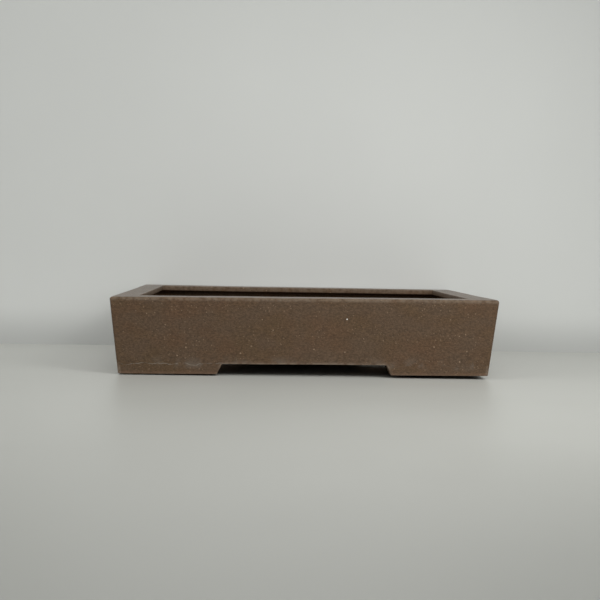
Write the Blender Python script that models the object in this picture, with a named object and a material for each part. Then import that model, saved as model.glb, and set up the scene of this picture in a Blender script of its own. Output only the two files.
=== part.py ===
"""A shallow rectangular bonsai pot, slab-built in unglazed stoneware.

The pot is made the way a potter builds one. Mitred wall slabs stand round a floor slab, mitred strips
form a rim that overhangs the inside, L-shaped feet stand under the corners, and coils of clay seal the
inner seams. Lengths are in metres, +Z is up, and the origin is on the table under the pot's middle.
"""

import math

import bmesh
import bpy
from mathutils import Vector

# Driving dimensions of the pot as a whole.
LENGTH = 0.300  # along the rim, left to right
DEPTH = 0.210  # along the rim, front to back
HEIGHT = 0.0605  # table to rim
FLARE = 0.100  # how far the outer faces lean out for each unit of height
CORNER_LIFT = 0.0026  # how far the front right corner rose as the clay dried and fired
GAP = 0.0003  # room kept between pieces that touch

# Slabs, rim, seams and feet.
WALL_THICKNESS = 0.0095
FLOOR_THICKNESS = 0.0080
RIM_WIDTH = 0.0200
RIM_THICKNESS = 0.0045
RIM_OUTER_RADIUS = 0.0020
RIM_INNER_RADIUS = 0.0008
SEAM_SIZE = 0.0055
FOOT_HEIGHT = 0.0088
FOOT_WIDTH = 0.0180
FOOT_END_SLOPE = 0.50  # how far a foot's end runs back for each unit of height
SOLE_RELIEF_WIDTH = 0.0060  # the outer edge of each sole is pared up from the table
SOLE_RELIEF_HEIGHT = 0.0009
FRONT_OPENING = 0.1270  # between the tops of the front feet
SIDE_OPENING = 0.0900  # between the tops of the feet on a short side

# Holes in the floor.
DRAIN_DIAMETER = 0.0280
DRAIN_SPACING = 0.1300
WIRE_HOLE_DIAMETER = 0.0050
WIRE_HOLE_SPACING = (0.1960, 0.1040)

# Mesh resolution.
SMOOTH_ANGLE = 35  # degrees up to which an edge is shaded round
EDGE_STEPS = 4
SEAM_STEPS = 4
DRAIN_SIDES = 40
WIRE_HOLE_SIDES = 16
FLOOR_CELLS = (10, 7)

# Heights where one piece ends and the next begins.
WALL_TOP = HEIGHT - RIM_THICKNESS - GAP
FLOOR_TOP = FOOT_HEIGHT + FLOOR_THICKNESS
SEAM_BASE = FLOOR_TOP + GAP

# Each side of the pot runs from one corner to the next, as signs of X and Y.
SIDES = {
    "front": ((-1, -1), (1, -1)),
    "right": ((1, -1), (1, 1)),
    "back": ((1, 1), (-1, 1)),
    "left": ((-1, 1), (-1, -1)),
}
CORNERS = {
    "front_left": (-1, -1),
    "front_right": (1, -1),
    "back_left": (-1, 1),
    "back_right": (1, 1),
}

# The two faces that fill the L of a foot, as points of its outline.
L_FACES = ((0, 1, 2, 3), (0, 3, 4, 5))

# Fired clay: linear colour and roughness for each kind of piece.
CLAY = {
    "wall": ((0.120, 0.079, 0.052), 0.62),
    "rim": ((0.150, 0.112, 0.080), 0.50),
    "foot": ((0.112, 0.073, 0.048), 0.66),
    "floor": ((0.096, 0.063, 0.042), 0.74),
    "seam": ((0.104, 0.068, 0.045), 0.78),
}


def clear_scene():
    """Removes every object that the new file came with."""
    for obj in list(bpy.data.objects):
        bpy.data.objects.remove(obj, do_unlink=True)


def clay_material(name, kind):
    """The fired clay of one piece."""
    colour, roughness = CLAY[kind]
    material = bpy.data.materials.new(name + "_clay")
    material.use_nodes = True
    shader = material.node_tree.nodes["Principled BSDF"]
    shader.inputs["Base Color"].default_value = (*colour, 1.0)
    shader.inputs["Roughness"].default_value = roughness
    shader.inputs["Metallic"].default_value = 0.0
    material.diffuse_color = (*colour, 1.0)
    return material


def outer_inset(height):
    """How far the outer face lies inside the rim's outline at a height."""
    return FLARE * (HEIGHT - height)


def wall_inset(height):
    """How far the inner face of a wall lies inside the rim's outline at a height."""
    return outer_inset(height) + WALL_THICKNESS


def corner_point(corner, inset, height):
    """The point at a corner of the outline, moved in by the inset on both sides."""
    x = corner[0] * (LENGTH / 2 - inset)
    y = corner[1] * (DEPTH / 2 - inset)
    return Vector((x, y, height))


def corner_rise(point):
    """How far the twist of the fired pot lifts a point: most at the front right corner."""
    across = point.x / LENGTH + 0.5
    forward = 0.5 - point.y / DEPTH
    return CORNER_LIFT * across * forward


def sole_rise(point):
    """How far the sole stands off the table: only the front faces of the feet rise with the corner."""
    leg_line = outer_inset(0) + FOOT_WIDTH + GAP
    behind_front_leg = point.y > leg_line - DEPTH / 2
    in_left_leg = point.x < leg_line - LENGTH / 2
    return 0.0 if behind_front_leg or in_left_leg else corner_rise(point)


def settled(point):
    """The place of a point after firing. The soles were rubbed flat on a stone, the rest kept its twist."""
    rise = sole_rise(point) if point.z == 0.0 else corner_rise(point)
    return point + Vector((0.0, 0.0, rise))


def arc(centre, radius, start, end, steps):
    """Points along an arc, as (inset, height), with the angles in degrees."""
    points = []
    for step in range(steps + 1):
        angle = math.radians(start + (end - start) * step / steps)
        points.append((centre[0] + radius * math.cos(angle), centre[1] + radius * math.sin(angle)))
    return points


def add_piece(name, kind, points, faces, pot):
    """Makes a closed piece of clay, with its origin at its own middle, and hangs it on the pot."""
    fired = [settled(point) for point in points]
    middle = sum(fired, Vector()) / len(fired)
    shape = bmesh.new()
    vertices = [shape.verts.new(point - middle) for point in fired]
    for face in faces:
        shape.faces.new([vertices[index] for index in face])
    bmesh.ops.recalc_face_normals(shape, faces=shape.faces)
    mesh = bpy.data.meshes.new(name)
    shape.to_mesh(mesh)
    shape.free()
    mesh.materials.append(clay_material(name, kind))
    piece = bpy.data.objects.new(name, mesh)
    bpy.context.scene.collection.objects.link(piece)
    piece.location = middle
    piece.parent = pot
    return piece


def shade_smooth(piece):
    """Rounds the shading of a curved piece and keeps its real edges crisp."""
    piece.data.shade_smooth()
    piece.data.set_sharp_from_angle(angle=math.radians(SMOOTH_ANGLE))


def swept_faces(count):
    """The faces between two like outlines of a number of points, with a cap at each end."""
    sides = [(i, (i + 1) % count, (i + 1) % count + count, i + count) for i in range(count)]
    return [tuple(range(count)), tuple(range(count, 2 * count))] + sides


def add_mitred_strip(name, kind, side, profile, pot):
    """Runs a profile of (inset, height) points along one side, cut at 45 degrees at both corners."""
    start, end = SIDES[side]
    run = Vector((end[0] - start[0], end[1] - start[1], 0)).normalized()
    pull = run * GAP / math.sqrt(2)
    points = [corner_point(start, *place) + pull for place in profile]
    points += [corner_point(end, *place) - pull for place in profile]
    return add_piece(name, kind, points, swept_faces(len(profile)), pot)


def wall_profile():
    """A leaning slab of even thickness, from the foot line up to the rim strip."""
    return [
        (outer_inset(FOOT_HEIGHT), FOOT_HEIGHT),
        (outer_inset(WALL_TOP), WALL_TOP),
        (wall_inset(WALL_TOP), WALL_TOP),
        (wall_inset(FOOT_HEIGHT), FOOT_HEIGHT),
    ]


def rim_profile():
    """A flat strip, flush with the wall outside, whose upper edges are rounded."""
    lean = math.degrees(math.atan(FLARE))
    base = HEIGHT - RIM_THICKNESS
    outer_centre = RIM_OUTER_RADIUS / math.cos(math.radians(lean)) + outer_inset(HEIGHT - RIM_OUTER_RADIUS)
    inner_centre = RIM_WIDTH - RIM_INNER_RADIUS
    outer = arc((outer_centre, HEIGHT - RIM_OUTER_RADIUS), RIM_OUTER_RADIUS, 180 + lean, 90, EDGE_STEPS)
    inner = arc((inner_centre, HEIGHT - RIM_INNER_RADIUS), RIM_INNER_RADIUS, 90, 0, EDGE_STEPS)
    return [(outer_inset(base), base)] + outer + inner + [(RIM_WIDTH, base)]


def floor_seam_profile():
    """A hollow fillet of clay pressed along the seam between the floor and a wall."""
    foot_of_wall = wall_inset(SEAM_BASE) + GAP
    top = SEAM_BASE + SEAM_SIZE
    curve = arc((foot_of_wall + SEAM_SIZE, top), SEAM_SIZE, 270, 180, SEAM_STEPS)
    leaned = [(inset - FLARE * (height - SEAM_BASE), height) for inset, height in curve]
    return [(foot_of_wall, SEAM_BASE)] + leaned


def add_corner_seam(name, corner, pot):
    """A fillet of clay pressed into an upright inner corner, between the floor seams and the rim."""
    points = []
    for height in (SEAM_BASE + SEAM_SIZE + GAP, WALL_TOP - GAP):
        inset = wall_inset(height) + GAP
        points.append(corner_point(corner, inset, height))
        for across, along in arc((SEAM_SIZE, SEAM_SIZE), SEAM_SIZE, 270, 180, SEAM_STEPS):
            shift = Vector((corner[0] * across, corner[1] * along, 0))
            points.append(corner_point(corner, inset, height) - shift)
    piece = add_piece(name, "seam", points, swept_faces(len(points) // 2), pot)
    shade_smooth(piece)


def foot_outline(corner, height, pared):
    """The L of a foot at a height: the outer corner, the two ends of each leg and the inner corner."""
    outer = outer_inset(height) + pared
    inner = outer_inset(0) + FOOT_WIDTH
    slope = FOOT_END_SLOPE * (FOOT_HEIGHT - height)
    x_out, y_out = LENGTH / 2 - outer, DEPTH / 2 - outer
    x_in, y_in = LENGTH / 2 - inner, DEPTH / 2 - inner
    x_end, y_end = FRONT_OPENING / 2 + slope, SIDE_OPENING / 2 + slope
    outline = [(x_out, y_out), (x_end, y_out), (x_end, y_in), (x_in, y_in), (x_in, y_end), (x_out, y_end)]
    return [Vector((corner[0] * x, corner[1] * y, height)) for x, y in outline]


def add_foot(name, corner, pot):
    """An L-shaped foot, flush with both walls, whose ends slant back towards the floor line."""
    sole = foot_outline(corner, 0.0, SOLE_RELIEF_WIDTH)
    edge = foot_outline(corner, SOLE_RELIEF_HEIGHT, 0.0)
    top = foot_outline(corner, FOOT_HEIGHT - GAP, 0.0)
    count = len(sole)
    faces = list(L_FACES)
    faces += [tuple(index + 2 * count for index in face) for face in L_FACES]
    for layer in (0, count):
        for index in range(count):
            here, there = index + layer, (index + 1) % count + layer
            faces.append((here, there, there + count, here + count))
    add_piece(name, "foot", sole + edge + top, faces, pot)


def floor_point(column, row, height):
    """A grid point of the floor slab, whose edges lean with the walls that they stand inside."""
    inset = wall_inset(height) + GAP
    x = (2 * column / FLOOR_CELLS[0] - 1) * (LENGTH / 2 - inset)
    y = (2 * row / FLOOR_CELLS[1] - 1) * (DEPTH / 2 - inset)
    return Vector((x, y, height))


def floor_slab_faces():
    """Grid faces for the underside and the top of the slab, joined by a band round the edge."""
    columns, rows = FLOOR_CELLS
    layer = (columns + 1) * (rows + 1)

    def index(column, row):
        return row * (columns + 1) + column

    faces = []
    for row in range(rows):
        for column in range(columns):
            cell = (
                index(column, row),
                index(column + 1, row),
                index(column + 1, row + 1),
                index(column, row + 1),
            )
            faces.append(cell[::-1])
            faces.append(tuple(corner + layer for corner in cell))
    edge = [index(column, 0) for column in range(columns)]
    edge += [index(columns, row) for row in range(rows)]
    edge += [index(column, rows) for column in range(columns, 0, -1)]
    edge += [index(0, row) for row in range(rows, 0, -1)]
    for here, there in zip(edge, edge[1:] + edge[:1]):
        faces.append((here, there, there + layer, here + layer))
    return faces


def add_cutter(name, diameter, sides, x, y, pot):
    """An upright cylinder, longer than the floor is thick, that only cuts."""
    shape = bmesh.new()
    bmesh.ops.create_cone(
        shape,
        cap_ends=True,
        segments=sides,
        radius1=diameter / 2,
        radius2=diameter / 2,
        depth=3 * FLOOR_THICKNESS,
    )
    mesh = bpy.data.meshes.new(name)
    shape.to_mesh(mesh)
    shape.free()
    cutter = bpy.data.objects.new(name, mesh)
    bpy.context.scene.collection.objects.link(cutter)
    cutter.location = (x, y, FOOT_HEIGHT + FLOOR_THICKNESS / 2)
    cutter.parent = pot
    cutter.hide_render = True
    cutter.display_type = "WIRE"
    return cutter


def add_floor_slab(pot):
    """The floor, with two large drainage holes and four small holes for the wires that hold a tree."""
    points = []
    for height in (FOOT_HEIGHT, FLOOR_TOP):
        for row in range(FLOOR_CELLS[1] + 1):
            for column in range(FLOOR_CELLS[0] + 1):
                points.append(floor_point(column, row, height))
    slab = add_piece("floor_slab", "floor", points, floor_slab_faces(), pot)
    cutters = []
    for sign in (-1, 1):
        x = sign * DRAIN_SPACING / 2
        cutters.append(add_cutter("drain_cutter", DRAIN_DIAMETER, DRAIN_SIDES, x, 0.0, pot))
    for corner in CORNERS.values():
        x = corner[0] * WIRE_HOLE_SPACING[0] / 2
        y = corner[1] * WIRE_HOLE_SPACING[1] / 2
        cutters.append(add_cutter("wire_cutter", WIRE_HOLE_DIAMETER, WIRE_HOLE_SIDES, x, y, pot))
    for cutter in cutters:
        hole = slab.modifiers.new(cutter.name, "BOOLEAN")
        hole.operation = "DIFFERENCE"
        hole.solver = "EXACT"
        hole.object = cutter


def build_pot():
    """Builds every piece, from the feet up."""
    pot = bpy.data.objects.new("bonsai_pot", None)
    bpy.context.scene.collection.objects.link(pot)
    for name, corner in CORNERS.items():
        add_foot(name + "_foot", corner, pot)
        add_corner_seam(name + "_corner_seam", corner, pot)
    add_floor_slab(pot)
    for side in SIDES:
        add_mitred_strip(side + "_wall", "wall", side, wall_profile(), pot)
        seam = add_mitred_strip(side + "_floor_seam", "seam", side, floor_seam_profile(), pot)
        rim = add_mitred_strip(side + "_rim", "rim", side, rim_profile(), pot)
        shade_smooth(seam)
        shade_smooth(rim)


clear_scene()
build_pot()
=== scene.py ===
"""The visual model of the bonsai pot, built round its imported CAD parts.

Each piece of the pot is a closed mesh of its own. Walls, rim strips and floor seams are profiles swept
along the pot's outline, and feet and corner seams are outlines stacked upwards. All of them share the
measurements of the CAD, the same hand-made ripples and the same twist, so neighbours meet flush.
Lengths are in metres.
"""

import math
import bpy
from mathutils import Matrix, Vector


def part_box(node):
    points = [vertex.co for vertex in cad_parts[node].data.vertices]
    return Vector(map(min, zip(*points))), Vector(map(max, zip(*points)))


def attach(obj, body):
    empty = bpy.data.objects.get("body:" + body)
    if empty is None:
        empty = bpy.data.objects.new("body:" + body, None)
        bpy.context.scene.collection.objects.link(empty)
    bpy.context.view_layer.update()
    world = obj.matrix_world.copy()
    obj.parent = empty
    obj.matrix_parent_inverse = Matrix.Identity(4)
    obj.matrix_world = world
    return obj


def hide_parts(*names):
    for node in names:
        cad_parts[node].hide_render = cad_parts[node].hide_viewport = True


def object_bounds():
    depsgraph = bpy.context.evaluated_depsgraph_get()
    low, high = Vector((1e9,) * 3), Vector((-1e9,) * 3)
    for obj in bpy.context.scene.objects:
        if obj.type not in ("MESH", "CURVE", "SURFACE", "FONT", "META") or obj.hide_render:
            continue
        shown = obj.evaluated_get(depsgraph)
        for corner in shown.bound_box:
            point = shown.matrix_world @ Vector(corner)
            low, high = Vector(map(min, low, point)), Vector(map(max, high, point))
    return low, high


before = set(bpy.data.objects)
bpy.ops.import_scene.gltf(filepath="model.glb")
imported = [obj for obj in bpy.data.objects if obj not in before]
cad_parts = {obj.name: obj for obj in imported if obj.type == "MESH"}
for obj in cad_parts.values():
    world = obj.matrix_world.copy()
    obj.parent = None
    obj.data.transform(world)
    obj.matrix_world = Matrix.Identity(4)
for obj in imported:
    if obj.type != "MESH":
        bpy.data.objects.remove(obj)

from types import SimpleNamespace

import bpy
import numpy as np
from mathutils import Matrix, Vector
from mathutils.geometry import delaunay_2d_cdt

CAD_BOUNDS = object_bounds()

# The way that each side runs and the way that it faces, as X and Y.
SIDES = {
    "front": ((1, 0), (0, -1)),
    "right": ((0, 1), (1, 0)),
    "back": ((-1, 0), (0, 1)),
    "left": ((0, -1), (-1, 0)),
}
CORNERS = {
    "front_left": (-1, -1),
    "front_right": (1, -1),
    "back_left": (-1, 1),
    "back_right": (1, 1),
}

# Corners in the outline of a foot, and the mark of a point between corners.
OUTER_FOOT_CORNER = 1
INNER_FOOT_CORNER = 4
NO_CORNER = -1

# Mesh resolution.
CELL = 0.0014  # size of a mesh face on flat clay
ARC_STEPS = 6  # faces across a rounded edge
CORNER_STEPS = 6  # faces from a side to the mitre, round the outside of a corner
MITRE_ANGLE = 45  # degrees round a corner at which two sides meet
BEVEL_STEPS = 4  # faces across the bevel under a foot
FLOOR_CELL = 1.5 * CELL  # the floor's cells may be larger, as it is hidden deep in the pot
HOLE_CLEARANCE = 1.8 * CELL  # between a hole's rounded edge and the floor's own grid
FEWEST_HOLE_SIDES = 20
SHARP_ANGLE = 32  # degrees above which an edge is shaded crisp
UPRIGHT_LIMIT = 0.5  # a face counts as upright if its normal climbs less than this
MERGE_DISTANCE = 1e-9  # between points that count as one
HOLE_TOLERANCE = 1e-7  # how far into a hole a triangle that borders on it may seem to reach

# Radii of the edges and corners of the clay.
CORNER_RADIUS = 0.0018
INNER_CORNER_RADIUS = 0.0004
LIP_CORNER_RADIUS = 0.0014
RIM_OUTER_RADIUS = 0.0020
LIP_RADIUS = 0.0009
WALL_EDGE_RADIUS = 0.0007
LUTED_EDGE_RADIUS = 0.0005
HIDDEN_EDGE_RADIUS = 0.00002
FOOT_EDGE_RADIUS = 0.0008
SOLE_RADIUS = 0.0007
SOLE_FRONT_RADIUS = 0.0005
FOOT_FILLET = 0.0006
FOOT_INNER_FILLET = 0.0025
DRAIN_EDGE_RADIUS = 0.0012
WIRE_EDGE_RADIUS = 0.0005

# Ripples left by the hand: (wavelength, size) for each scale, and how rough the hidden faces are.
RIPPLES = ((0.160, 0.00016), (0.060, 0.00007), (0.022, 0.00003), (0.0085, 0.000012))
RIPPLE_LIMIT = 0.0003  # room that is left for them inside the outline of the CAD
WAVES_PER_SCALE = 7
ROUGH_TOUCH = 3.0
RIPPLE_SEED = 11

# Reading sizes off the CAD: how flat a sole is, and the decimal places that tell its edges apart.
SOLE_FLATNESS = 0.0002
PLACES_KEPT = 5

# Colours, as linear light.
CLAY_OLIVE = (0.091, 0.056, 0.030, 1)
CLAY_RED = (0.100, 0.057, 0.032, 1)
CLAY_GREY = (0.093, 0.059, 0.036, 1)
# The warmer, lighter band along the bottom of the feet is a painted highlight.
SOLE_HIGHLIGHT_COLOUR = (0.165, 0.098, 0.062, 1)
BLOOM_COLOUR = (0.150, 0.124, 0.100, 1)
# Worn edges are painted lighter: partly worn clay, partly a painted highlight along the edges.
WORN_AND_HIGHLIGHT_COLOUR = (0.230, 0.180, 0.135, 1)
CHALK_COLOUR = (0.300, 0.270, 0.235, 1)
FINE_SPECK_COLOUR = (0.240, 0.165, 0.105, 1)
BOLD_SPECK_COLOUR = (0.330, 0.235, 0.155, 1)
DARK_SPECK_COLOUR = (0.030, 0.022, 0.016, 1)
WHITE_GRAIN_COLOUR = (0.900, 0.880, 0.840, 1)
BLACK = (0, 0, 0, 1)

# The look of plain clay, and how each kind of piece differs from it.
PLAIN_CLAY = {
    "tone": 1.0,
    "gloss": 0.22,
    "roughness": 0.60,
    "grain": 0.34,
    # How strongly the lighter edges show, partly worn clay and partly painted highlight.
    "wear_and_highlight": 0.8,
    # sole: strength of the painted highlight along the bottom of the feet.
    "sole": 0.0,
    "burnish": 0.0,
    "relief": 0.00010,
}
LOOKS = {
    "wall": {},
    "rim": {"burnish": 1.0, "wear_and_highlight": 0.35},
    # The feet carry the painted highlight along their bottom, and lighter edges that are partly worn clay and
    # partly painted highlight.
    "foot": {"sole": 0.55, "wear_and_highlight": 0.6},
    "floor": {"tone": 0.92, "roughness": 0.76, "grain": 0.30, "wear_and_highlight": 0.3, "relief": 0.00025},
    "seam": {"tone": 0.96, "roughness": 0.72, "grain": 0.26, "wear_and_highlight": 0.3, "relief": 0.00022},
}
ROUGHNESS_SPREAD = 0.08
BURNISH_GLOSS = 0.70
BURNISH_SMOOTHNESS = 0.18
BURNISH_DEPTH = RIM_OUTER_RADIUS / 4

NOISE_MIDDLE = 0.5  # what noise is on average, whole or cut evenly

# How sharply a cloud of noise is cut: the noise values that become 0 and 1.
SOFT_CUT = (0.30, 0.70)
PATCH_CUT = (0.35, 0.65)
GRAIN_CUT = (0.25, 0.75)
JOINT_BREAK_CUT = (0.38, 0.62)
BLOOM_CUT = (0.48, 0.70)
WEAR_AND_HIGHLIGHT_BREAK_CUT = (0.30, 0.62)
PORE_CUT = (0.30, 0.42)

# Octaves of noise, and how strong each next octave is.
PLAIN_DETAIL = 1.0
SOME_DETAIL = 2.0
USUAL_DETAIL = 3.0
FINE_DETAIL = 4.0
USUAL_ROUGHNESS = 0.5
GRAIN_ROUGHNESS = 0.65

# Sizes of the marks in the clay.
MOTTLE_SIZE = 0.030
PATCH_SIZE = 0.016
PATCH_STRETCH = (0.6, 0.6, 1.0)
GRAIN_SIZE = 0.0011
GRAIN_STRETCH = (0.60, 0.60, 1.0)
CLUSTER_SIZE = 0.022
FINE_SPECK_SPACING = 0.0024
FINE_SPECK_RADIUS = 0.00070
FINE_SPECK_SHARE = 0.40
BOLD_SPECK_SPACING = 0.0062
BOLD_SPECK_RADIUS = 0.00080
BOLD_SPECK_SHARE = 0.42
DARK_SPECK_SPACING = 0.0026
DARK_SPECK_RADIUS = 0.00055
DARK_SPECK_SHARE = 0.50
WHITE_GRAIN_RADIUS = 0.00085
WHITE_GRAIN_CORE = 0.5
SPECK_STRENGTHS = {"dark": 0.5, "fine": 0.5, "bold": 0.7}
SMALLEST_SPECK = 0.4
SPECK_CORE = 0.6
WEAR_AND_HIGHLIGHT_BREAK_SIZE = 0.0035
SHEEN_PATCH_SIZE = 0.018
PORE_SIZE = 0.0011
GRAIN_RELIEF = 0.5
SPECK_RELIEF = 0.6
JOINT_WIDTH = 0.00050
JOINT_CORE = 0.25  # share of its width where the line is strongest
JOINT_STRENGTH = 0.30
JOINT_FAINT = 0.06
JOINT_WHOLE_TO = -0.002  # how far right of the end of the front left foot
JOINT_FADED_FROM = 0.012  # the same
JOINT_WOBBLE = 0.0070
JOINT_WOBBLE_SIZE = 0.010
JOINT_BREAK_SIZE = 0.006
BLOOM_SIZE = 0.012
BLOOM_HEIGHT = 0.008
BLOOM_FOOT_SHARE = 1 / 3  # share of a foot, from its sole up, that stays clear of it
BLOOM_STRENGTH = 0.45
# Height of the painted highlight along the bottom of the feet.
SOLE_HIGHLIGHT_BAND = 0.0024
# The lighter line on the wall's lower edge above the opening and on the rim's lower lip is partly worn clay
# and partly painted highlight.
EDGE_WEAR_AND_HIGHLIGHT_REACH = 0.0022
EDGE_WEAR_AND_HIGHLIGHT_FADE = 0.55
LOWER_LIP_WEAR_AND_HIGHLIGHT = 0.5

# The one white grain in the front wall: how far right of the middle, and below the rim.
WHITE_GRAIN_RIGHT = 0.032
WHITE_GRAIN_BELOW_RIM = 0.0145

# Stage. The backdrop has painted shade near the floor, where the corner's shade falls, by a share and up to a
# height.
STAGE_HALF_WIDTH = 3.0
BACKDROP_GAP = 0.003
FLOOR_PAPER = ((0.480, 0.483, 0.455, 1), (0.500, 0.503, 0.475, 1))
WALL_PAPER = ((0.605, 0.615, 0.600, 1), (0.625, 0.635, 0.620, 1))
PAPER_CLOUD_SIZE = 0.25
FLOOR_ROUGHNESS = 0.42
WALL_ROUGHNESS = 0.75
WALL_SHADE = 0.24
WALL_SHADE_HEIGHT = 0.040

# Softboxes: degrees to the right of the front, degrees up, distance, size and power in watts.
LIGHT_AIM = (0.0, 0.0, 0.03)
LIGHT_COLOUR = (1.0, 1.0, 0.98)
LIGHT_SPREAD = 100
SOFTBOXES = {
    "left_softbox": (-57, 27, 1.05, (0.30, 0.75), 0.82),
    "right_softbox": (57, 18, 1.05, (0.30, 0.30), 0.40),
    "right_key": (36, 32, 0.70, (0.24, 0.20), 0.52),
    "front_softbox": (0, 34, 1.40, (0.90, 0.40), 1.20),
    "upper_softbox": (0, 66, 1.40, (0.90, 0.50), 0.84),
    "back_softbox": (180, 20, 1.30, (0.90, 0.50), 0.42),
}
AIR_COLOUR = (0.98, 1.0, 0.99, 1)
AIR_STRENGTH = 0.30
FAR_WALL_STRENGTH = 0.55

# Camera: 36 mm sensor, angles in degrees.
LENS = 57.5
CAMERA_SIDE = -0.0298
CAMERA_DISTANCE = 0.7302
CAMERA_HEIGHT = 0.1041
CAMERA_YAW = 1.98
CAMERA_PITCH = 3.43
CAMERA_ROLL = 1.11


def measure_pot():
    """Reads the pot's dimensions off the CAD pieces at the back left, where the twist is next to nothing."""
    high = CAD_BOUNDS[1]
    rim_low, rim_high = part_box("back_rim")
    wall_low, wall_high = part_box("back_wall")
    seam_low, seam_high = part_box("back_floor_seam")
    foot_low, foot_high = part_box("back_left_foot")
    foot = np.array([vertex.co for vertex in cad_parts["back_left_foot"].data.vertices])
    sole = foot[foot[:, 2] < SOLE_FLATNESS]
    sole_end, sole_inner, sole_outer = np.unique(sole[:, 1].round(PLACES_KEPT))
    pared = foot[(foot[:, 2] >= SOLE_FLATNESS) & (foot[:, 2] < foot_high.z / 2)]
    pot = SimpleNamespace()
    pot.half = np.array((high.x - RIPPLE_LIMIT, high.y - RIPPLE_LIMIT))
    pot.height = rim_high.z - RIPPLE_LIMIT
    pot.lift = high.z - rim_high.z
    pot.rim_width = rim_high.y - rim_low.y
    pot.wall_top = wall_high.z
    pot.base = wall_low.z
    pot.flare = (wall_high.y - foot_high.y) / (wall_high.z - foot_high.z)
    pot.wall = wall_high.y - wall_low.y - pot.flare * (wall_high.z - wall_low.z)
    pot.floor_top = seam_low.z
    pot.seam = seam_high.z - seam_low.z
    pot.relief_width = pared[:, 1].max() - sole_outer
    pot.relief_height = pared[:, 2].min()
    pot.foot_width = pot.half[1] - pot.flare * pot.height - sole_inner
    pot.opening = np.array((-foot_high.x, foot_low.y))
    pot.foot_slope = (sole_end - foot_low.y) / foot_high.z
    return pot


POT = measure_pot()
WHITE_GRAIN_PLACE = (
    WHITE_GRAIN_RIGHT,
    CAD_BOUNDS[0].y + POT.flare * WHITE_GRAIN_BELOW_RIM,
    POT.height - WHITE_GRAIN_BELOW_RIM,
)


def outer_inset(height):
    """How far the outer face lies inside the rim's outline at a height."""
    return POT.flare * (POT.height - height)


def wall_inset(height):
    """How far the inner face of a wall lies inside the rim's outline at a height."""
    return outer_inset(height) + POT.wall


def smooth_step(value):
    """Eases from 0 to 1 as the value goes from 0 to 1."""
    held = np.clip(value, 0.0, 1.0)
    return held * held * (3.0 - 2.0 * held)


def ripples(points):
    """The uneven surface of hand-made slabs: a seeded sum of waves, the same for every piece."""
    random = np.random.default_rng(RIPPLE_SEED)
    total = np.zeros_like(points)
    for length, size in RIPPLES:
        for _ in range(WAVES_PER_SCALE):
            way = random.normal(size=3)
            way /= np.linalg.norm(way)
            push = random.normal(size=3)
            push *= size / math.sqrt(WAVES_PER_SCALE) / np.linalg.norm(push)
            phase = random.uniform(0, 2 * math.pi)
            wave = np.sin(points @ way * (2 * math.pi / length) + phase)
            total += wave[..., None] * push
    return total


def fired(points, touch=1.0):
    """Where points of the new pot end up: rippled by hand, twisted by the fire, soles rubbed flat."""
    across = points[..., 0] / (2 * POT.half[0]) + 0.5
    forward = 0.5 - points[..., 1] / (2 * POT.half[1])
    rise = POT.lift * across * forward
    leg = POT.half[1] - outer_inset(0.0) - POT.foot_width - POT.opening[1]
    raised_sole = np.clip((-POT.opening[1] - points[..., 1]) / leg, 0.0, 1.0)
    above_sole = np.clip(points[..., 2] / POT.base, 0.0, 1.0)
    moved = points + ripples(points) * touch * above_sole[..., None]
    moved[..., 2] += rise * (raised_sole + (1.0 - raised_sole) * above_sole)
    return moved


def arc(centre_inset, centre_height, radius, start, end):
    """Insets and heights along an arc between two angles in degrees, for numbers or columns of them."""
    angle = np.radians(np.linspace(start, end, ARC_STEPS + 1))
    return centre_inset + radius * np.cos(angle), centre_height + radius * np.sin(angle)


def steps_between(start, end):
    """Evenly spaced values from one to the other, both included, about a mesh cell apart."""
    return np.linspace(start, end, max(2, round(abs(end - start) / CELL) + 1))


def profile_part(inset, height, turn, wear_and_highlight=0.0):
    """Part of a profile: inset, height, plan radius at the corner, and the lighter worn-edge mark of each
    section's points, which is partly painted highlight.
    """
    part = np.stack(np.broadcast_arrays(inset, height, turn, wear_and_highlight), axis=-1)
    return part if part.ndim == 3 else part[None]


def joined_profile(*parts):
    """One profile from its parts, for as many sections as the most varied part has."""
    sections = max(part.shape[0] for part in parts)
    spread = [np.broadcast_to(part, (sections, *part.shape[1:])) for part in parts]
    return np.concatenate(spread, axis=1)


def side_stations(side):
    """Where the sections of a side stand, as (share of the straight run, angle round the corner)."""
    run = np.abs(SIDES[side][0])
    straight = np.linspace(-1, 1, 2 * round(POT.half @ run / CELL) + 1)
    turn = np.radians(np.linspace(MITRE_ANGLE, 0, CORNER_STEPS, endpoint=False))
    ends = np.ones_like(turn)
    share = np.concatenate((-ends, straight, ends))
    angle = np.concatenate((-turn, np.zeros_like(straight), turn[::-1]))
    return share[:, None], angle[:, None]


def swept_points(side, profile):
    """Sweeps a profile along one side and round both corners as far as the mitres."""
    run, out = (np.array((*way, 0.0)) for way in SIDES[side])
    share, angle = side_stations(side)
    inset, height, turn = profile[..., 0], profile[..., 1], profile[..., 2]
    half_run = POT.half @ np.abs(run[:2]) - inset - turn
    half_out = POT.half @ np.abs(out[:2]) - inset - turn
    along = share * half_run + turn * np.sin(angle)
    outward = half_out + turn * np.cos(angle)
    points = along[..., None] * run + outward[..., None] * out
    points[..., 2] = height
    return points


def tube_faces(rows, columns):
    """Quads that join closed rings of points in order, and a cap at each end."""
    index = np.arange(rows * columns).reshape(rows, columns)
    following = np.roll(index, -1, axis=1)
    quads = np.stack((index[:-1], index[1:], following[1:], following[:-1]), axis=-1)
    return quads.reshape(-1, 4).tolist() + [index[0].tolist(), index[-1][::-1].tolist()]


def add_layer(mesh, name, values):
    """Stores a number for each point of a mesh, for its material to read."""
    layer = mesh.attributes.new(name, "FLOAT", "POINT")
    layer.data.foreach_set("value", values.astype(np.float32).ravel())


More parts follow.
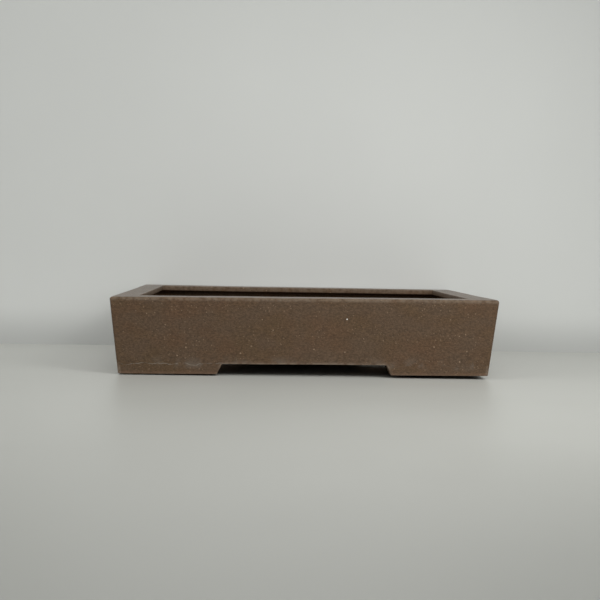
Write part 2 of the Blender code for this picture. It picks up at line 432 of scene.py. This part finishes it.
def add_piece(node, built, faces, wear_and_highlight, material, touch=1.0):
    """Makes the closed mesh that stands for one CAD node, from its points as built and their lighter
    worn-edge marks, which are partly painted highlight.
    """
    name = node + "_clay"
    mesh = bpy.data.meshes.new(name)
    mesh.from_pydata(fired(built, touch).reshape(-1, 3), [], faces)
    add_layer(mesh, "wear_and_highlight", np.broadcast_to(wear_and_highlight, built.shape[:-1]))
    add_layer(mesh, "level", built[..., 2])
    mesh.shade_smooth()
    mesh.set_sharp_from_angle(angle=math.radians(SHARP_ANGLE))
    mesh.materials.append(material)
    piece = bpy.data.objects.new(name, mesh)
    bpy.context.scene.collection.objects.link(piece)
    face_outwards(mesh)
    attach(piece, "root")
    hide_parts(node)


def face_outwards(mesh):
    """Turns every face over if the closed mesh is inside out."""
    mesh.calc_loop_triangles()
    corners = np.empty(len(mesh.loop_triangles) * 3, np.int32)
    mesh.loop_triangles.foreach_get("vertices", corners)
    places = np.empty(len(mesh.vertices) * 3, np.float32)
    mesh.vertices.foreach_get("co", places)
    a, b, c = places.reshape(-1, 3)[corners.reshape(-1, 3)].transpose(1, 0, 2)
    if np.einsum("ij,ij->i", a, np.cross(b, c)).sum() < 0:
        mesh.flip_normals()


def add_tube(node, rings, wear_and_highlight, material, touch=1.0):
    """A piece whose closed rings of points follow each other, with a cap at each end."""
    add_piece(node, rings, tube_faces(*rings.shape[:2]), wear_and_highlight, material, touch)


def add_strip(node, side, profile, material, touch=1.0):
    """A piece swept along one side."""
    add_tube(node, swept_points(side, profile), profile[..., 3], material, touch)


def wall_profile(side):
    """A leaning slab, worn round below the opening between the feet and sharp where a foot is joined on."""
    share = side_stations(side)[0]
    run = np.abs(SIDES[side][0])
    from_foot = POT.opening @ run - np.abs(share) * (POT.half @ run - outer_inset(POT.base))
    open_edge = smooth_step(from_foot / (2 * FOOT_FILLET))
    radius = HIDDEN_EDGE_RADIUS + (WALL_EDGE_RADIUS - HIDDEN_EDGE_RADIUS) * open_edge
    centre = POT.base + radius
    lower = arc(outer_inset(centre) + radius, centre, radius, 270, 180)
    up = steps_between(POT.base + 2 * WALL_EDGE_RADIUS, POT.wall_top)
    # The lower edge above the opening is painted lighter, partly worn clay and partly painted highlight.
    fading = EDGE_WEAR_AND_HIGHLIGHT_FADE * open_edge * np.clip(1 - (up - POT.base) / EDGE_WEAR_AND_HIGHLIGHT_REACH, 0, 1)
    down = steps_between(POT.wall_top, POT.base + 2 * LUTED_EDGE_RADIUS)
    inner_centre = POT.base + LUTED_EDGE_RADIUS
    inner = arc(wall_inset(inner_centre) - LUTED_EDGE_RADIUS, inner_centre, LUTED_EDGE_RADIUS, 0, -90)
    return joined_profile(
        profile_part(*lower, CORNER_RADIUS, open_edge),
        profile_part(outer_inset(up), up, CORNER_RADIUS, fading),
        profile_part(wall_inset(down), down, INNER_CORNER_RADIUS),
        profile_part(*inner, INNER_CORNER_RADIUS),
    )


def rim_profile():
    """A flat strip whose outer edge is flush with the wall and whose inner edge overhangs as a lip."""
    shoulder = POT.height - RIM_OUTER_RADIUS
    outer = arc(outer_inset(shoulder) + RIM_OUTER_RADIUS, shoulder, RIM_OUTER_RADIUS, 180, 90)
    lip = POT.rim_width - LIP_RADIUS
    upper = arc(lip, POT.height - LIP_RADIUS, LIP_RADIUS, 90, 0)
    lower = arc(lip, POT.wall_top + LIP_RADIUS, LIP_RADIUS, 0, -90)
    top = steps_between(outer[0][-1], lip)[1:-1]
    under = steps_between(lip, wall_inset(POT.wall_top))[1:]
    side = steps_between(POT.wall_top, shoulder)[:-1]
    turn = np.interp(top, (outer[0][-1], lip), (CORNER_RADIUS, LIP_CORNER_RADIUS))
    # The rim's rounded outer edge and its lip are painted lighter, partly worn clay and partly painted
    # highlight.
    return joined_profile(
        profile_part(outer_inset(side), side, CORNER_RADIUS),
        profile_part(*outer, CORNER_RADIUS, 1.0),
        profile_part(top, POT.height, turn),
        profile_part(*upper, LIP_CORNER_RADIUS, 1.0),
        profile_part(*lower, LIP_CORNER_RADIUS, LOWER_LIP_WEAR_AND_HIGHLIGHT),
        profile_part(under, POT.wall_top, INNER_CORNER_RADIUS),
    )


def floor_seam_profile():
    """A hollow fillet of clay, finger-smoothed along the seam between the floor and a wall."""
    wall = wall_inset(POT.floor_top)
    inset, height = arc(wall + POT.seam, POT.floor_top + POT.seam, POT.seam, 270, 180)
    leaned = inset + wall_inset(height) - wall
    turn = np.maximum(POT.seam + wall - inset, INNER_CORNER_RADIUS)
    return joined_profile(
        profile_part(leaned, height, turn),
        profile_part([wall], [POT.floor_top], INNER_CORNER_RADIUS),
    )


def rounded_outline(corners, radii, runs):
    """A right-angled outline with rounded corners, and the corner that each point rounds, or NO_CORNER."""
    places = np.array(corners)
    before = places - np.roll(places, 1, axis=0)
    arriving = before / np.linalg.norm(before, axis=1)[:, None]
    leaving = np.roll(arriving, -1, axis=0)
    bend = np.linspace(0, math.pi / 2, ARC_STEPS + 1)[:, None]
    points = []
    owners = []
    for number, place in enumerate(places):
        come, go, radius = arriving[number], leaving[number], radii[number]
        points.append(place + radius * (come * (np.sin(bend) - 1) + go * (1 - np.cos(bend))))
        owners += [number] * (ARC_STEPS + 1)
        last = place + radius * go
        following = (number + 1) % len(places)
        target = places[following] - radii[following] * go
        share = np.linspace(0, 1, runs[number] + 1)[1:-1, None]
        points.append(last + share * (target - last))
        owners += [NO_CORNER] * (runs[number] - 1)
    return np.concatenate(points), np.array(owners)


def foot_outline(height, pared):
    """The L of a foot at a height, where X and Y are positive, pared back along its outside."""
    worn = SOLE_RADIUS * (1 - math.sqrt(1 - max(0.0, 1 - height / SOLE_RADIUS) ** 2))
    near_top = max(0.0, 1 - (POT.base - height) / FOOT_FILLET)
    fillet = FOOT_FILLET * (1 - math.sqrt(1 - near_top**2))
    outer = POT.half - outer_inset(height) - pared
    inner = POT.half - outer_inset(0.0) - POT.foot_width + worn
    end = POT.opening + POT.foot_slope * (POT.base - height) - fillet + worn
    corners = (
        (end[0], outer[1]),
        (outer[0], outer[1]),
        (outer[0], end[1]),
        (inner[0], end[1]),
        (inner[0], inner[1]),
        (end[0], inner[1]),
    )
    radii = [FOOT_EDGE_RADIUS] * len(corners)
    radii[OUTER_FOOT_CORNER] = CORNER_RADIUS
    radii[INNER_FOOT_CORNER] = FOOT_INNER_FILLET
    legs = POT.half - outer_inset(0.0) - POT.opening
    width = POT.foot_width
    lengths = (legs[0], legs[1], width, legs[1] - width, legs[0] - width, width)
    runs = [max(2, round(length / CELL)) for length in lengths]
    return rounded_outline(corners, radii, runs)


def foot_levels():
    """Heights of a foot's rings, up the sole's bevel and then the faces, and how far each is pared back."""
    lean = math.atan2(POT.relief_height, POT.relief_width)
    radius = SOLE_FRONT_RADIUS
    start = radius * (1 - math.sin(lean))
    centre = (POT.relief_width - start) * math.tan(lean) + radius * math.cos(lean)
    pared, height = arc(radius, centre, radius, 270 - math.degrees(lean), 180)
    bevel = np.linspace(0, 1, BEVEL_STEPS, endpoint=False)
    bend = np.linspace(0, math.pi / 2, ARC_STEPS + 1)
    fillet = POT.base - FOOT_FILLET + FOOT_FILLET * np.sin(bend)
    face = steps_between(height[-1], fillet[0])[1:-1]
    heights = np.concatenate((bevel * height[0], height, face, fillet))
    insets = np.concatenate((POT.relief_width + bevel * (start - POT.relief_width), pared))
    return heights, np.append(insets, np.zeros(len(heights) - len(insets)))


def add_foot(name, corner, material):
    """An L-shaped foot, flush with both walls, with slanted ends and a sole pared up along its outside."""
    heights, insets = foot_levels()
    rings = []
    for height, pared in zip(heights, insets):
        outline, owners = foot_outline(height, pared)
        level = np.full((len(outline), 1), height)
        rings.append(np.hstack((outline * corner, level)))
    # The foot's lower edge and its rounded ends are painted lighter, partly worn clay and partly painted
    # highlight.
    lower_edge = ((insets > 0) & (insets <= SOLE_FRONT_RADIUS))[:, None]
    ends = ((owners != NO_CORNER) & (owners != INNER_FOOT_CORNER))[None]
    add_tube(name, np.array(rings), np.maximum(lower_edge, ends), material)


def add_corner_seam(name, corner, material):
    """A fillet of clay pressed into an upright inner corner, from the floor seams up to the rim."""
    bend = np.linspace(0, math.pi / 2, 2 * ARC_STEPS + 1)
    hollow = POT.seam * (np.stack((np.cos(bend), np.sin(bend)), axis=1) - 1)
    shape = np.vstack((hollow, (0.0, 0.0)))
    rings = []
    for height in steps_between(POT.floor_top + POT.seam, POT.wall_top):
        outline = (POT.half - wall_inset(height) + shape) * corner
        rings.append(np.hstack((outline, np.full((len(outline), 1), height))))
    add_tube(name, np.array(rings), 0.0, material, ROUGH_TOUCH)


def floor_holes():
    """The holes in the CAD floor, as (middle, radius), found from the upright faces inside the slab."""
    low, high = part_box("floor_slab")
    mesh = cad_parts["floor_slab"].data
    walls = {}
    for face in mesh.polygons:
        middle = face.center
        inside = abs(middle.x) < high.x - POT.wall and abs(middle.y) < high.y - POT.wall
        if inside and abs(face.normal.z) < UPRIGHT_LIMIT:
            key = (middle.x > 0, round(2 * middle.y / high.y))
            walls.setdefault(key, []).extend(mesh.vertices[index].co for index in face.vertices)
    holes = []
    for points in walls.values():
        places = np.array(points)[:, :2]
        first, last = places.min(axis=0), places.max(axis=0)
        holes.append(((first + last) / 2, (last - first).mean() / 2))
    return holes


def hole_rings(middle, radius, edge):
    """Circles of points round a hole, from its wall to just past its rounded edge."""
    count = max(FEWEST_HOLE_SIDES, round(2 * math.pi * radius / CELL))
    angle = np.arange(count) * 2 * math.pi / count
    circle = np.stack((np.cos(angle), np.sin(angle)), axis=1)
    bend = np.linspace(0, math.pi / 2, ARC_STEPS + 1)
    reach = np.append(radius + edge * (1 - np.cos(bend)), radius + edge + CELL)
    return [middle + size * circle for size in reach]


def floor_plan(half, holes):
    """Plan points and triangles of the floor between its edge and its holes, and the loops of their edges."""
    columns, rows = (2 * np.round(half / FLOOR_CELL)).astype(int)
    x = np.linspace(-half[0], half[0], columns + 1)
    y = np.linspace(-half[1], half[1], rows + 1)
    grid = np.stack(np.meshgrid(x, y), axis=-1)
    edge = np.concatenate((grid[0, :-1], grid[:-1, -1], grid[-1, :0:-1], grid[:0:-1, 0]))
    inner = grid[1:-1, 1:-1].reshape(-1, 2)
    loops = [np.arange(len(edge))]
    points = [edge]
    total = len(edge)
    for middle, radius, rounding in holes:
        rings = hole_rings(middle, radius, rounding)
        loops.append(np.arange(total, total + len(rings[0])))
        points += rings
        total += sum(len(ring) for ring in rings)
        away = np.linalg.norm(inner - middle, axis=1)
        inner = inner[away > radius + rounding + HOLE_CLEARANCE]
    points = np.concatenate(points + [inner])
    places = [Vector(point) for point in points]
    triangles = np.array(delaunay_2d_cdt(places, [], [], 0, MERGE_DISTANCE)[2])
    centres = points[triangles].mean(axis=1)
    kept = np.ones(len(triangles), bool)
    for (middle, radius, _), loop in zip(holes, loops[1:]):
        away = np.linalg.norm(centres - middle, axis=1)
        kept &= away > radius * math.cos(math.pi / len(loop)) - HOLE_TOLERANCE
    return points, triangles[kept], loops


def edge_drop(points, holes):
    """How far the floor's surface has rounded away at each point near a hole, and how strongly its lighter
    worn edge, partly painted highlight, shows there.
    """
    drop = np.zeros(len(points))
    wear_and_highlight = np.zeros(len(points))
    for middle, radius, rounding in holes:
        away = np.linalg.norm(points - middle, axis=1) - radius
        bend = np.clip(1 - away / rounding, 0.0, 1.0)
        drop = np.maximum(drop, rounding * (1 - np.sqrt(1 - bend**2)))
        wear_and_highlight = np.maximum(wear_and_highlight, bend)
    return drop, wear_and_highlight


def add_floor_slab(material):
    """The floor between the walls, with softened drainage holes and wiring holes."""
    half = POT.half - wall_inset(POT.floor_top)
    holes = []
    for middle, radius in floor_holes():
        holes.append((middle, radius, DRAIN_EDGE_RADIUS if radius > POT.seam else WIRE_EDGE_RADIUS))
    plan, triangles, loops = floor_plan(half, holes)
    drop, wear_and_highlight = edge_drop(plan, holes)
    shrink = (POT.half - wall_inset(POT.base)) / half
    top = np.column_stack((plan, POT.floor_top - drop))
    bottom = np.column_stack((plan * shrink, POT.base + drop))
    count = len(plan)
    faces = triangles.tolist() + (triangles[:, ::-1] + count).tolist()
    for number, loop in enumerate(loops):
        following = np.roll(loop, -1)
        band = np.stack((loop, loop + count, following + count, following), axis=1)
        faces += (band if number == 0 else band[:, ::-1]).tolist()
    add_piece("floor_slab", np.vstack((top, bottom)), faces, np.tile(wear_and_highlight, 2), material, ROUGH_TOUCH)


def add_pot(materials):
    """Every piece of the pot, from the feet up."""
    for name, corner in CORNERS.items():
        add_foot(name + "_foot", corner, materials["foot"])
        add_corner_seam(name + "_corner_seam", corner, materials["seam"])
    add_floor_slab(materials["floor"])
    for side in SIDES:
        add_strip(side + "_wall", side, wall_profile(side), materials["wall"])
        add_strip(side + "_rim", side, rim_profile(), materials["rim"])
        add_strip(side + "_floor_seam", side, floor_seam_profile(), materials["seam"], ROUGH_TOUCH)


class Nodes:
    """Adds and links the shader nodes of one material."""

    def __init__(self, material):
        material.use_nodes = True
        self.tree = material.node_tree
        self.shader = self.tree.nodes["Principled BSDF"]

    def add(self, kind, inputs=None, **settings):
        """A new node, whose inputs are plain values or the outputs of other nodes."""
        node = self.tree.nodes.new("ShaderNode" + kind)
        for name, value in settings.items():
            setattr(node, name, value)
        for name, value in (inputs or {}).items():
            self.feed(node.inputs[name], value)
        return node

    def feed(self, socket, value):
        """Links an output to a socket, or sets the socket's own value."""
        if isinstance(value, bpy.types.NodeSocket):
            self.tree.links.new(value, socket)
        else:
            socket.default_value = value

    def math(self, operation, *values):
        """The result of a sum on numbers."""
        return self.add("Math", dict(enumerate(values)), operation=operation).outputs[0]

    def ramp(self, value, low, high):
        """0 below one value, 1 above the other, and smooth in between. Low may be above high."""
        inputs = {"Value": value, "From Min": low, "From Max": high}
        return self.add("MapRange", inputs, interpolation_type="SMOOTHSTEP").outputs["Result"]

    def blend(self, amount, first, second, mode="MIX"):
        """Mixes two colours."""
        node = self.add("Mix", {"Factor": amount, "A": first, "B": second}, data_type="RGBA", blend_type=mode)
        return node.outputs["Result"]

    def noise(self, place, size, detail=USUAL_DETAIL, roughness=USUAL_ROUGHNESS):
        """Cloudy noise with features of about a size, mostly between 0.3 and 0.7."""
        inputs = {"Vector": place, "Scale": 1.0 / size, "Detail": detail, "Roughness": roughness}
        return self.add("TexNoise", inputs).outputs["Fac"]

    def stretched(self, place, scale):
        """Coordinates scaled by an amount along each axis."""
        return self.add("Mapping", {"Vector": place, "Scale": scale}).outputs["Vector"]


class Clay(Nodes):
    """The look of one kind of clay piece, built up in layers."""

    def __init__(self, kind):
        material = bpy.data.materials.new(kind + "_clay_look")
        super().__init__(material)
        self.material = material
        self.look = SimpleNamespace(**(PLAIN_CLAY | LOOKS[kind]))
        self.place = self.add("TexCoord").outputs["Object"]
        self.level = self.add("Attribute", attribute_name="level").outputs["Fac"]
        self.wear_and_highlight = self.add("Attribute", attribute_name="wear_and_highlight").outputs["Fac"]
        along = self.add("SeparateXYZ", {0: self.place})
        self.x = along.outputs["X"]
        self.y = along.outputs["Y"]

    def body(self):
        """Fired clay that drifts between a redder and an olive brown."""
        cloud = self.ramp(self.noise(self.place, MOTTLE_SIZE), *SOFT_CUT)
        patch = self.ramp(self.noise(self.stretched(self.place, PATCH_STRETCH), PATCH_SIZE), *PATCH_CUT)
        colour = self.blend(cloud, CLAY_OLIVE, CLAY_RED)
        return self.blend(patch, colour, CLAY_GREY)

    def grain(self):
        """Fine streaks, drawn sideways by the tool that scraped the slab. About 0.5 on average."""
        drawn = self.stretched(self.place, GRAIN_STRETCH)
        streaks = self.noise(drawn, GRAIN_SIZE, FINE_DETAIL, GRAIN_ROUGHNESS)
        return self.ramp(streaks, *GRAIN_CUT)

    def specks(self, spacing, radius, share):
        """Grains of sand that the surface cuts through: 1 inside a grain, 0 in the clay."""
        inputs = {"Vector": self.place, "Scale": 1.0 / spacing}
        cells = self.add("TexVoronoi", inputs)
        chance = self.add("SeparateColor", {"Color": cells.outputs["Color"]})
        clusters = self.ramp(self.noise(self.place, CLUSTER_SIZE, PLAIN_DETAIL), *SOFT_CUT)
        limit = self.math("MULTIPLY", clusters, share / NOISE_MIDDLE)
        chosen = self.math("LESS_THAN", chance.outputs["Red"], limit)
        reach = self.math("MULTIPLY_ADD", chance.outputs["Green"], 1.0 - SMALLEST_SPECK, SMALLEST_SPECK)
        edge = self.math("MULTIPLY", reach, radius / spacing)
        core = self.math("MULTIPLY", edge, SPECK_CORE)
        return self.math("MULTIPLY", self.ramp(cells.outputs["Distance"], edge, core), chosen)

    def white_grain(self):
        """The one white grain in the front wall: 1 inside it, 0 in the clay."""
        offset = self.add("VectorMath", {0: self.place, 1: WHITE_GRAIN_PLACE}, operation="DISTANCE")
        return self.ramp(offset.outputs["Value"], WHITE_GRAIN_RADIUS, WHITE_GRAIN_RADIUS * WHITE_GRAIN_CORE)

    def joint_line(self):
        """The wavering chalky line where a foot was luted to the wall, mostly on the front left foot."""
        wobble = self.noise(self.place, JOINT_WOBBLE_SIZE, SOME_DETAIL)
        centred = self.math("SUBTRACT", wobble, NOISE_MIDDLE)
        shift = self.math("MULTIPLY", centred, JOINT_WOBBLE)
        off = self.math("ABSOLUTE", self.math("SUBTRACT", self.math("ADD", self.level, shift), POT.base))
        line = self.ramp(off, JOINT_WIDTH, JOINT_WIDTH * JOINT_CORE)
        broken = self.ramp(self.noise(self.place, JOINT_BREAK_SIZE), *JOINT_BREAK_CUT)
        left = self.ramp(self.x, JOINT_FADED_FROM - POT.opening[0], JOINT_WHOLE_TO - POT.opening[0])
        strength = self.math("MULTIPLY_ADD", left, JOINT_STRENGTH, JOINT_FAINT)
        return self.math("MULTIPLY", self.math("MULTIPLY", line, broken), strength)

    def bloom(self):
        """Grey haze that damp left low on the walls."""
        cloud = self.ramp(self.noise(self.place, BLOOM_SIZE), *BLOOM_CUT)
        low = self.ramp(self.level, POT.base + BLOOM_HEIGHT, POT.base)
        raised = self.ramp(self.level, POT.base * BLOOM_FOOT_SHARE, POT.base)
        return self.math("MULTIPLY", self.math("MULTIPLY", cloud, low), raised)

    def sole_highlight(self):
        """A warmer, lighter band along the bottom of the feet: a painted highlight."""
        uneven = self.math("MULTIPLY", self.noise(self.place, BLOOM_SIZE), SOLE_HIGHLIGHT_BAND)
        return self.ramp(self.level, self.math("ADD", uneven, SOLE_HIGHLIGHT_BAND), uneven)

    def scaled(self, value, factor):
        """A mask made stronger or weaker."""
        return self.math("MULTIPLY", value, factor)

    def finish(self):
        """Lays the layers over each other and gives the surface its roughness and fine relief."""
        look = self.look
        grain = self.grain()
        fine = self.specks(FINE_SPECK_SPACING, FINE_SPECK_RADIUS, FINE_SPECK_SHARE)
        bold = self.specks(BOLD_SPECK_SPACING, BOLD_SPECK_RADIUS, BOLD_SPECK_SHARE)
        dark = self.specks(DARK_SPECK_SPACING, DARK_SPECK_RADIUS, DARK_SPECK_SHARE)
        # Breaks the lighter edges into patches; they are partly worn clay and partly painted highlight.
        edge_breaks = self.ramp(self.noise(self.place, WEAR_AND_HIGHLIGHT_BREAK_SIZE, FINE_DETAIL), *WEAR_AND_HIGHLIGHT_BREAK_CUT)
        worn = self.math("MULTIPLY", self.wear_and_highlight, edge_breaks)
        burnish = self.scaled(self.burnished(), look.burnish)
        colour = self.body()
        darkest, lightest = look.tone * (1 - look.grain), look.tone * (1 + look.grain)
        shade = self.add("MapRange", {"Value": grain, "To Min": darkest, "To Max": lightest})
        colour = self.blend(1.0, colour, self.grey(shade.outputs["Result"]), "MULTIPLY")
        # Painted highlight: a warmer, lighter band along the bottom of the feet.
        colour = self.blend(self.scaled(self.sole_highlight(), look.sole), colour, SOLE_HIGHLIGHT_COLOUR)
        colour = self.blend(self.scaled(self.bloom(), BLOOM_STRENGTH), colour, BLOOM_COLOUR)
        # Lighter edges: partly worn clay, partly painted highlight along the edges.
        colour = self.blend(self.scaled(worn, look.wear_and_highlight), colour, WORN_AND_HIGHLIGHT_COLOUR)
        colour = self.blend(self.scaled(dark, SPECK_STRENGTHS["dark"]), colour, DARK_SPECK_COLOUR)
        colour = self.blend(self.scaled(fine, SPECK_STRENGTHS["fine"]), colour, FINE_SPECK_COLOUR)
        colour = self.blend(self.scaled(bold, SPECK_STRENGTHS["bold"]), colour, BOLD_SPECK_COLOUR)
        colour = self.blend(self.joint_line(), colour, CHALK_COLOUR)
        colour = self.blend(self.white_grain(), colour, WHITE_GRAIN_COLOUR)
        self.feed(self.shader.inputs["Base Color"], colour)
        self.sheen(burnish)
        self.relief(grain, self.math("SUBTRACT", self.math("ADD", fine, bold), dark))
        return self.material

    def burnished(self):
        """The rim's flat top, rubbed smooth while the clay was leather-hard, as far as its rounded edges."""
        return self.ramp(self.level, POT.height - BURNISH_DEPTH, POT.height)

    def sheen(self, burnish):
        """Gloss, raised on the burnished top, and roughness that is patchy as on hand-rubbed clay."""
        look = self.look
        gloss = self.math("MULTIPLY_ADD", burnish, BURNISH_GLOSS, look.gloss)
        self.feed(self.shader.inputs["Specular IOR Level"], gloss)
        patchy = self.noise(self.place, SHEEN_PATCH_SIZE, FINE_DETAIL)
        spread = (look.roughness - ROUGHNESS_SPREAD, look.roughness + ROUGHNESS_SPREAD)
        rough = self.add("MapRange", {"Value": patchy, "To Min": spread[0], "To Max": spread[1]})
        smoothed = self.math("SUBTRACT", rough.outputs["Result"], self.scaled(burnish, BURNISH_SMOOTHNESS))
        self.feed(self.shader.inputs["Roughness"], smoothed)

    def grey(self, value):
        """A number as a grey colour."""
        return self.add("CombineColor", {"Red": value, "Green": value, "Blue": value}).outputs["Color"]

    def relief(self, grain, specks):
        """Fine relief: streaks, pores and the grains that stand a little proud."""
        pores = self.ramp(self.noise(self.place, PORE_SIZE, SOME_DETAIL), *PORE_CUT)
        raised = self.math("ADD", pores, self.scaled(specks, SPECK_RELIEF))
        height = self.math("ADD", self.scaled(grain, GRAIN_RELIEF), raised)
        inputs = {"Height": height, "Distance": self.look.relief, "Strength": 1.0}
        self.feed(self.shader.inputs["Normal"], self.add("Bump", inputs).outputs["Normal"])


def add_softbox(name, azimuth, elevation, distance, size, power):
    """A large soft light, aimed at the pot from a direction, that the camera can't see."""
    data = bpy.data.lights.new(name, "AREA")
    data.shape = "RECTANGLE"
    data.size, data.size_y = size
    data.energy = power
    data.color = LIGHT_COLOUR
    data.spread = math.radians(LIGHT_SPREAD)
    light = bpy.data.objects.new(name, data)
    around = Matrix.Rotation(math.radians(azimuth), 4, "Z")
    upwards = Matrix.Rotation(math.radians(90 - elevation), 4, "X")
    away = Matrix.Translation((0, 0, distance))
    light.matrix_world = Matrix.Translation(LIGHT_AIM) @ around @ upwards @ away
    light.visible_camera = False
    bpy.context.scene.collection.objects.link(light)


def add_air():
    """Faint light from all round, in a studio whose far walls look pale."""
    world = bpy.data.worlds.new("studio_air")
    world.use_nodes = True
    links = world.node_tree.links
    background = world.node_tree.nodes["Background"]
    background.inputs["Color"].default_value = AIR_COLOUR
    seen = world.node_tree.nodes.new("ShaderNodeLightPath")
    strength = world.node_tree.nodes.new("ShaderNodeMapRange")
    strength.inputs["To Min"].default_value = AIR_STRENGTH
    strength.inputs["To Max"].default_value = FAR_WALL_STRENGTH
    links.new(seen.outputs["Is Camera Ray"], strength.inputs["Value"])
    links.new(strength.outputs["Result"], background.inputs["Strength"])
    bpy.context.scene.world = world


def add_lights():
    """Studio light: softboxes at the front, sides, top and back, and the air round them."""
    for name, settings in SOFTBOXES.items():
        add_softbox(name, *settings)
    add_air()


def paper_material(name, colours, roughness, upright):
    """Pale grey paper that is clear from behind and, if hung upright, has painted shade near the floor."""
    material = bpy.data.materials.new(name)
    nodes = Nodes(material)
    place = nodes.add("TexCoord").outputs["Object"]
    cloud = nodes.ramp(nodes.noise(place, PAPER_CLOUD_SIZE), *SOFT_CUT)
    colour = nodes.blend(cloud, *colours)
    nodes.shader.inputs["Roughness"].default_value = roughness
    if upright:
        # Painted shade: upright paper is darkened towards the floor, where the corner's shade falls.
        height = nodes.add("SeparateXYZ", {0: place}).outputs["Z"]
        low = nodes.ramp(height, WALL_SHADE_HEIGHT, 0.0)
        colour = nodes.blend(nodes.math("MULTIPLY", low, WALL_SHADE), colour, BLACK)
    nodes.feed(nodes.shader.inputs["Base Color"], colour)
    clear = nodes.add("BsdfTransparent")
    facing = nodes.add("NewGeometry").outputs["Backfacing"]
    inputs = {0: facing, 1: nodes.shader.outputs["BSDF"], 2: clear.outputs["BSDF"]}
    mixed = nodes.add("MixShader", inputs)
    nodes.feed(nodes.tree.nodes["Material Output"].inputs["Surface"], mixed.outputs["Shader"])
    return material


def add_sheet(name, edges, material):
    """A wide flat sheet between two (Y, Z) edges, that isn't part of the pot."""
    points = [(side * STAGE_HALF_WIDTH, y, z) for y, z in edges for side in (-1, 1)]
    mesh = bpy.data.meshes.new(name)
    mesh.from_pydata(points, [], [(0, 1, 3, 2)])
    mesh.materials.append(material)
    sheet = bpy.data.objects.new(name, mesh)
    bpy.context.scene.collection.objects.link(sheet)
    return sheet


def add_stage():
    """A pale floor, and an upright backdrop close behind the pot that casts no shadow."""
    floor_paper = paper_material("floor_paper", FLOOR_PAPER, FLOOR_ROUGHNESS, False)
    add_sheet("floor", [(-STAGE_HALF_WIDTH, 0.0), (STAGE_HALF_WIDTH, 0.0)], floor_paper)
    wall = CAD_BOUNDS[1].y + BACKDROP_GAP
    wall_paper = paper_material("backdrop_paper", WALL_PAPER, WALL_ROUGHNESS, True)
    backdrop = add_sheet("backdrop", [(wall, 0.0), (wall, STAGE_HALF_WIDTH)], wall_paper)
    backdrop.visible_shadow = False


def add_camera():
    """The camera, low in front of the pot and a little to its left, turned and tilted slightly."""
    camera = bpy.data.objects.new("camera", bpy.data.cameras.new("camera"))
    camera.data.lens = LENS
    place = Vector((CAMERA_SIDE, CAD_BOUNDS[0].y - CAMERA_DISTANCE, CAMERA_HEIGHT))
    turn = Matrix.Rotation(math.radians(-CAMERA_YAW), 4, "Z")
    tip = Matrix.Rotation(math.radians(90 - CAMERA_PITCH), 4, "X")
    lean = Matrix.Rotation(math.radians(CAMERA_ROLL), 4, "Z")
    camera.matrix_world = Matrix.Translation(place) @ turn @ tip @ lean
    bpy.context.scene.collection.objects.link(camera)
    bpy.context.scene.camera = camera


add_pot({kind: Clay(kind).finish() for kind in LOOKS})
add_stage()
add_lights()
add_camera()
bpy.context.scene.view_settings.view_transform = "Standard"
bpy.context.view_layer.update()
